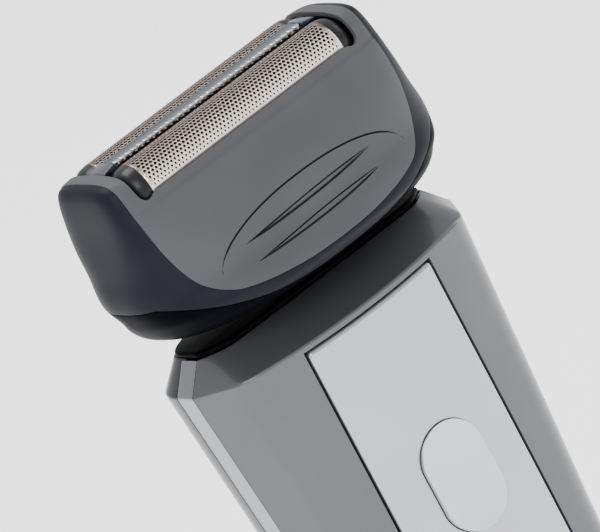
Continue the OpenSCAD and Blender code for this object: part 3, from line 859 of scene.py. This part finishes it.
def make_trimmer_mount():
    """Two end blocks whose tops slope down outwards, each on a narrow stem."""
    low, high = box_mm("trimmer_mount")
    parts = []
    for end in (-1, 1):
        lo_x, hi_x = sorted((end * (FOIL_HALF - 0.4), end * high[0]))
        cap = block((lo_x, -CAP_HALF, high[2] - CAP_HEIGHT), (hi_x, CAP_HALF, high[2]), 0.0)
        parts.append(block((lo_x, -UNDER_HALF, high[2] - UNDER_LOW),
                           (hi_x, UNDER_HALF, high[2] - UNDER_HIGH), 0.1))
        for v in cap.data.vertices:  # the outer end slopes down
            if abs(v.co.x) > abs(end * high[0]) * MM - 1e-6 and v.co.z > (high[2] - 0.1) * MM:
                v.co.z -= CAP_SLOPE * MM
                v.co.x -= end * CAP_LEAN * MM
        soften(cap, 0.22, 3, 30)
        parts.append(cap)
        lo_x, hi_x = sorted((end * STEM_FROM, end * high[0]))
        parts.append(block((lo_x, -STEM_HALF, low[2]), (hi_x, STEM_HALF, high[2] - STEM_TOP), 0.1))
    return join("trimmer_mount_blocks", parts)


place(make_comb(), "centre_trimmer", "trimmer_comb", "comb", "trimmer_comb")
place(make_trimmer_mount(), "centre_trimmer", "trimmer_mount", "trim_block", "trimmer_mount")

# ---- the handle's outer form

BAND_Y0, BAND_Y1 = -2.25, 2.15  # front and rear edges of the side bands
FRONT_SHARE = 0.85  # front face's half width as a share of the handle's
ROUND_OFF = 2.4  # from the front face onto the side facet
BACK_POWER = 2.6
TOP_ROUND = 0.35  # from the sides onto the shoulder slope
# height, half width, front depth, front bulge, back depth
body_at = smooth_rows([
    (0, 20.3, 11.6, 3, 11), (1.5, 21.3, 12.6, 3.3, 12), (30, 21.6, 13, 3.5, 12.5),
    (62, 22.2, 13.4, 3.7, 13), (92, 24.4, 14.4, 4.1, 13.6), (SHOULDER, 27, 15.3, 4.45, 14),
])
TOP_ROW = np.array([23.3, 6.6, 0.4, 10.6])  # the same four sizes at BODY_TOP
BAND_N = 7
PANEL_GAP = 0.35
HOLE_W = PANEL_W + PANEL_GAP
HOLE_COLS = 14  # columns from the middle to the edge of the hole


def bend(p, q, r, count):
    """Quadratic curve from p to r that heads for the corner q."""
    t = np.linspace(0, 1, count)[:, None]
    return (1 - t) ** 2 * p + 2 * t * (1 - t) * q + t**2 * r


def front_section(w, f, bulge):
    """Front half of the outline, from the left band to the right one; columns stay at fixed x
    beside the panel."""
    fw = FRONT_SHARE * w

    def arc(x):
        return np.stack([x, -f + bulge * (x / fw) ** 2], 1)
    inner = fw - ROUND_OFF
    pieces = [arc(np.linspace(0, HOLE_W, HOLE_COLS + 1)), arc(np.linspace(HOLE_W, inner, 12))[1:]]
    corner, end = np.array([fw, -f + bulge]), np.array([w, BAND_Y0])
    start = pieces[-1][-1]
    facet = corner + (end - corner) / np.linalg.norm(end - corner) * ROUND_OFF
    pieces.append(bend(start, corner, facet, 9)[1:])
    pieces.append(facet + (end - facet) * np.linspace(0, 1, 10)[1:, None])
    right = np.concatenate(pieces)
    return np.concatenate([right[:0:-1] * [-1, 1], right])


RECESS_W, RECESS_Z = 12.6, 74.0  # half width and foot of the beard trimmer's recess
RECESS_COLS = 24
RECESS_LAP, RECESS_Y0, RECESS_Y1 = 0.6, 9.4, 11.1  # the plate that floors the recess


def back_section(w, b):
    """Back half of the outline; its middle columns stay at fixed x beside the trimmer recess."""
    n = BACK_POWER
    x = np.linspace(RECESS_W, -RECESS_W, RECESS_COLS + 1)
    y = BAND_Y1 + (b - BAND_Y1) * (1 - (np.abs(x) / w) ** n) ** (1 / n)
    depth = (y[0] - BAND_Y1) / (b - BAND_Y1)
    angle = math.atan2(depth, RECESS_W / w)
    t = np.linspace(0, angle, 31)
    r = (np.cos(t) ** n + np.sin(t) ** n) ** (-1 / n)
    side = np.stack([w * np.cos(t) * r, BAND_Y1 + (b - BAND_Y1) * np.sin(t) * r], 1)
    return np.concatenate([side[:-1], np.stack([x, y], 1), side[-2::-1] * [-1, 1]])


def band_section(w):
    y = np.linspace(BAND_Y0, BAND_Y1, BAND_N)
    return np.stack([np.full(BAND_N, w), y], 1)


def body_rows(section, heights):
    """Rows of the outline up the handle, then over a small round onto the shoulder slope."""
    rows = []
    for z in heights:
        rows.append(np.column_stack([section(*body_at(z)), np.full(section.count, z)]))
    low_z = SHOULDER - TOP_ROUND
    below, edge, top = [
        np.column_stack([section(*row), np.full(section.count, z)])
        for row, z in ((body_at(low_z), low_z), (body_at(SHOULDER), SHOULDER), (TOP_ROW, BODY_TOP))]
    step = (top - edge) / np.linalg.norm(top - edge, axis=1)[:, None] * TOP_ROUND
    start = edge + step
    for t in np.linspace(0, 1, 7):
        rows.append((1 - t) ** 2 * below + 2 * t * (1 - t) * edge + t**2 * start)
    for t in np.linspace(0, 1, 14)[1:]:
        rows.append(start + (top - start) * t)
    return np.array(rows)


def front_of(w, f, bulge, _):
    return front_section(w, f, bulge)


def back_of(w, _, __, b):
    return back_section(w, b)


def band_of(w, *_):
    return band_section(w)


front_of.count = len(front_section(27, 15, 4))
back_of.count = len(back_section(27, 14))
band_of.count = BAND_N
HEIGHTS_LOW = np.linspace(1.8, PANEL_LOW[2] - PANEL_GAP, 14)
HEIGHTS_MID = np.linspace(PANEL_LOW[2] - PANEL_GAP, PANEL_HIGH[2] + PANEL_GAP, 40)
HEIGHTS = np.concatenate([HEIGHTS_LOW, HEIGHTS_MID[1:]])
HOLE_ROW0, HOLE_ROW1 = len(HEIGHTS_LOW) - 1, len(HEIGHTS) - 1
COLUMN_MID = (front_of.count - 1) // 2
PARTING = 0.09  # half the gap between two shells
PANEL_PROUD = 0.28
INSIDE = (0, 0, 70)  # a point inside the handle


def make_front_shell():
    rows = body_rows(front_of, HEIGHTS)
    rows[:, 0, 1] -= PARTING
    rows[:, -1, 1] -= PARTING

    def keep(j, i):
        beside = not COLUMN_MID - HOLE_COLS <= i < COLUMN_MID + HOLE_COLS
        return beside or not HOLE_ROW0 <= j < HOLE_ROW1
    obj = make_object("front_shell_cover", rows.reshape(-1, 3),
                      grid_faces(rows.shape[0], rows.shape[1], False, keep), INSIDE)
    solidify(obj, HANDLE_WALL, 0.14, 3)
    weigh(obj)
    return obj


def make_band(side):
    rows = body_rows(band_of, HEIGHTS)
    rows[:, 0, 1] += PARTING
    rows[:, -1, 1] -= PARTING
    rows[..., 0] *= side
    obj = make_object("side_band_%s" % ("right" if side > 0 else "left"), rows.reshape(-1, 3),
                      grid_faces(rows.shape[0], rows.shape[1], False), INSIDE)
    solidify(obj, HANDLE_WALL, 0.12, 3)
    weigh(obj)
    return obj


def make_rear_cover():
    low_part = np.linspace(1.8, RECESS_Z, 22)
    high_part = np.linspace(RECESS_Z, SHOULDER - 0.5, 24)
    rows = body_rows(back_of, np.concatenate([low_part, high_part[1:]]))
    rows[:, 0, 1] += PARTING
    rows[:, -1, 1] += PARTING
    first = (back_of.count - 1 - RECESS_COLS) // 2

    def keep(j, i):
        return j < len(low_part) - 1 or not first <= i < first + RECESS_COLS
    obj = make_object("rear_cover_shell", rows.reshape(-1, 3),
                      grid_faces(rows.shape[0], rows.shape[1], False, keep), INSIDE)
    solidify(obj, COVER_WALL, 0.15, 3)
    floor = block((-RECESS_W - RECESS_LAP, RECESS_Y0, RECESS_Z - 0.8),
                  (RECESS_W + RECESS_LAP, RECESS_Y1, BODY_TOP - 1.2), 0.1)
    whole = join("rear_cover_shell", [obj, floor])
    whole.data.set_sharp_from_angle(angle=FORM_SHARP)
    return whole


BUTTON_HALF_W, BUTTON_HALF_H, LENS_R = 5.6, 9.0, 1.5
BUTTON_GAP, LENS_GAP, PILL_N = 0.15, 0.12, 64
THROUGH = (-30, -5)  # y of the tools that cut through the panel


def make_front_panel():
    heights = np.linspace(PANEL_LOW[2], PANEL_HIGH[2], 60)
    xs = np.linspace(-PANEL_W, PANEL_W, 41)
    rows = []
    for z in heights:
        w, f, bulge = body_at(z)[:3]
        y = -f - PANEL_PROUD + bulge * (xs / (FRONT_SHARE * w)) ** 2
        rows.append(np.stack([xs, y, np.full(len(xs), z)], 1))
    obj = make_object("front_panel_plate", np.array(rows).reshape(-1, 3),
                      grid_faces(len(heights), len(xs), False), INSIDE)
    solidify(obj, PANEL_WALL, 0.8, 5)
    button_low, button_high = box_mm("power_button")
    middle = (button_low + button_high) / 2
    cut(obj, pill(middle, BUTTON_HALF_W + BUTTON_GAP, BUTTON_HALF_H + BUTTON_GAP, *THROUGH, 0.0))
    lens_low, lens_high = box_mm("indicator_lens")
    lens = (lens_low + lens_high) / 2
    cut(obj, pill(lens, LENS_R + LENS_GAP, LENS_R + LENS_GAP, *THROUGH, 0.0))
    weigh(obj)
    return obj


def pill(middle, half_w, half_h, y0, y1, crown, rounding=0.0):
    """A pill-shaped prism along Y whose front face (the low Y end) can be crowned."""
    outline = []
    for q in range(PILL_N):
        a = 2 * math.pi * q / PILL_N
        x = half_w * math.cos(a)
        z = half_w * math.sin(a) + math.copysign(half_h - half_w, math.sin(a))
        outline.append((x, z))
    levels = [1.0, 0.985, 0.94, 0.85, 0.7, 0.5, 0.25, 0.05]
    verts = [(middle[0] + x, y1, middle[2] + z) for x, z in outline]
    for level in levels:
        for x, z in outline:
            drop = crown * (1 - level**2)
            verts.append((middle[0] + x * level, y0 - drop, middle[2] + z * level))
    cols = len(outline)
    faces = grid_faces(len(levels) + 1, cols, True)
    faces.append(tuple(range(cols)))
    faces.append(tuple(len(levels) * cols + i for i in range(cols)))
    obj = make_object("pill", verts, faces, (middle[0], (y0 + y1) / 2, middle[2]))
    if rounding:
        soften(obj, rounding, 4, 50)
    return obj


def make_button():
    low, high = box_mm("power_button")
    middle = (low + high) / 2
    obj = pill(middle, BUTTON_HALF_W, BUTTON_HALF_H, low[1] + 0.45, high[1], -0.35, 0.35)
    obj.name = "power_button_cap"
    weigh(obj)
    return obj


def make_lens():
    low, high = box_mm("indicator_lens")
    middle = (low + high) / 2
    obj = pill(middle, LENS_R, LENS_R, low[1] + 0.12, high[1], 0.1, 0.1)
    obj.name = "indicator_dome"
    return obj


def body_loop(inset):
    """The closed outline of the handle's top, set in by the given amount."""
    w, f, bulge, b = TOP_ROW - [inset, inset, 0, inset]
    right = band_section(w)[1:-1]
    return np.concatenate([front_section(w, f, bulge), right, back_section(w, b),
                           right[::-1] * [-1, 1]])


def make_collar():
    low, high = box_mm("neck_collar")
    inner = body_loop(0.45)
    angle = np.arctan2(inner[:, 1], inner[:, 0])
    reach = 1 / np.maximum(np.abs(np.cos(angle)) / 5.6, np.abs(np.sin(angle)) / 4.7)
    hole = np.stack([np.cos(angle) * reach, np.sin(angle) * reach], 1)
    rise = high[2] - low[2]
    rows = [(hole, 0), (body_loop(0.45), 0), (body_loop(0.42), 0.08), (body_loop(0.42), 0.45)]
    rows += [(body_loop(0.42 + 0.6 * (1 - math.cos(a))), 0.45 + 0.5 * math.sin(a))
             for a in np.linspace(0.2, math.pi / 2, 7)]
    rows += [(hole, 0.95)]
    verts = [(x, y, low[2] + share * rise) for ring, share in rows for x, y in ring]
    count = len(inner)
    faces = grid_faces(len(rows), count, True)
    last = (len(rows) - 1) * count
    faces += [(i, (i + 1) % count, last + (i + 1) % count, last + i) for i in range(count)]
    obj = make_object("neck_collar_ring", verts, faces, (12, 0, low[2] + 0.5))
    obj.data.set_sharp_from_angle(angle=FORM_SHARP)
    return obj


place(make_front_shell(), "handle", "front_shell", "body", "front_shell")
place(make_band(-1), "handle", "side_bands", "band", "side_bands")
place(make_band(1), "handle", "side_bands", "band", "side_bands")
place(make_rear_cover(), "handle", "rear_cover", "cover", "rear_cover")
place(make_front_panel(), "handle", "front_panel", "panel", "front_panel")
place(make_button(), "button", "power_button", "button", "power_button")
place(make_lens(), "handle", "indicator_lens", "lens", "indicator_lens")
place(make_collar(), "handle", "neck_collar", "collar", "neck_collar")

# ---- CAD nodes that stay, with better materials

KEPT = {
    "base_cap": "cap", "neck_seal": "rubber", "inner_chassis": "chassis", "battery": "battery",
    "battery_contacts": "brass", "circuit_board": "board", "button_switch": "carriage",
    "charging_pins": "brass", "housing_screws": "steel", "rock_pin": "steel",
    "swing_carriage": "carriage", "tilt_pin": "steel", "motor_core": "steel",
    "motor_coil": "copper", "drive_bridge": "bridge",
    # the near-black cutter steel is painted shade under the foils
    "front_cutter": "cutter", "rear_cutter": "cutter",
    "front_spring": "steel", "rear_spring": "steel", "trimmer_blade": "cutter",
    "beard_trimmer_slide": "slide", "beard_trimmer_comb": "steel", "beard_trimmer_blade": "steel",
}
for node, material in KEPT.items():
    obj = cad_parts[node]
    obj.data.materials.clear()
    obj.data.materials.append(MAT[material])

# ---- floor, light and camera


FLOOR_HALF = 6.0  # metres
# name, place, target, width, height, power
LIGHTS = (
    ("key", (-0.55, -0.75, 0.75), (0, 0, 0.13), 0.7, 0.5, 7),
    ("side", (0.75, -0.05, 0.30), (0, 0, 0.12), 0.25, 0.8, 2),
    ("top", (0.0, 0.25, 0.95), (0, 0, 0.14), 0.6, 0.4, 7),
)
CAMERA_RIGHT, CAMERA_UP = (0.716, -0.524, -0.462), (0.547, 0.009, 0.837)
CAMERA_FIELD, CAMERA_DISTANCE = 88.235 * MM, 2.0  # width of view at the head, distance away
AIM = (-24.65, -8.35, HEAD_Z)  # the left end of the parting line
AIM_RIGHT, AIM_UP = -26.735 * MM, 9.897 * MM  # the aim point, seen from the view's centre


def make_floor():
    mesh = bpy.data.meshes.new("floor")
    corners = ((-1, -1), (1, -1), (1, 1), (-1, 1))
    mesh.from_pydata([(x * FLOOR_HALF, y * FLOOR_HALF, 0) for x, y in corners], [], [(0, 1, 2, 3)])
    obj = bpy.data.objects.new("floor", mesh)
    scene.collection.objects.link(obj)
    mat, nodes, links, bsdf = new_material("floor_pale")
    mottled(nodes, links, bsdf, (0.94, 0.94, 0.945), 0.01, 3)
    bsdf.inputs["Roughness"].default_value = 0.6
    bsdf.inputs["Emission Color"].default_value = (1.0, 1.0, 1.0, 1)
    bsdf.inputs["Emission Strength"].default_value = 1.1
    mesh.materials.append(mat)


def area_light(name, position, target, size, size_y, energy):
    light = bpy.data.lights.new(name, "AREA")
    light.shape = "RECTANGLE"
    light.size, light.size_y = size, size_y
    light.energy = energy
    obj = bpy.data.objects.new(name, light)
    scene.collection.objects.link(obj)
    obj.location = position
    obj.rotation_euler = (Vector(target) - Vector(position)).to_track_quat("-Z", "Y").to_euler()


def make_camera():
    """Looks down a little from the front left, rolled so that the shaver leans up to the left."""
    across, upward = Vector(CAMERA_RIGHT).normalized(), Vector(CAMERA_UP).normalized()
    upward = (upward - across * upward.dot(across)).normalized()
    back = across.cross(upward)
    data = bpy.data.cameras.new("camera")
    data.sensor_width = 36.0
    data.lens = data.sensor_width * CAMERA_DISTANCE / CAMERA_FIELD
    data.clip_start, data.clip_end = 0.01, 30
    obj = bpy.data.objects.new("camera", data)
    scene.collection.objects.link(obj)
    centre = Vector(AIM) * MM - across * AIM_RIGHT - upward * AIM_UP
    rotation = Matrix((across, upward, back)).transposed().to_4x4()
    obj.matrix_world = Matrix.Translation(centre + back * CAMERA_DISTANCE) @ rotation
    scene.camera = obj


def make_world():
    world = bpy.data.worlds.new("studio")
    scene.world = world
    world.use_nodes = True
    background = world.node_tree.nodes["Background"]
    background.inputs["Color"].default_value = (0.95, 0.96, 0.98, 1)
    background.inputs["Strength"].default_value = 1.0


make_floor()
make_world()
for light_row in LIGHTS:
    area_light(*light_row)
make_camera()
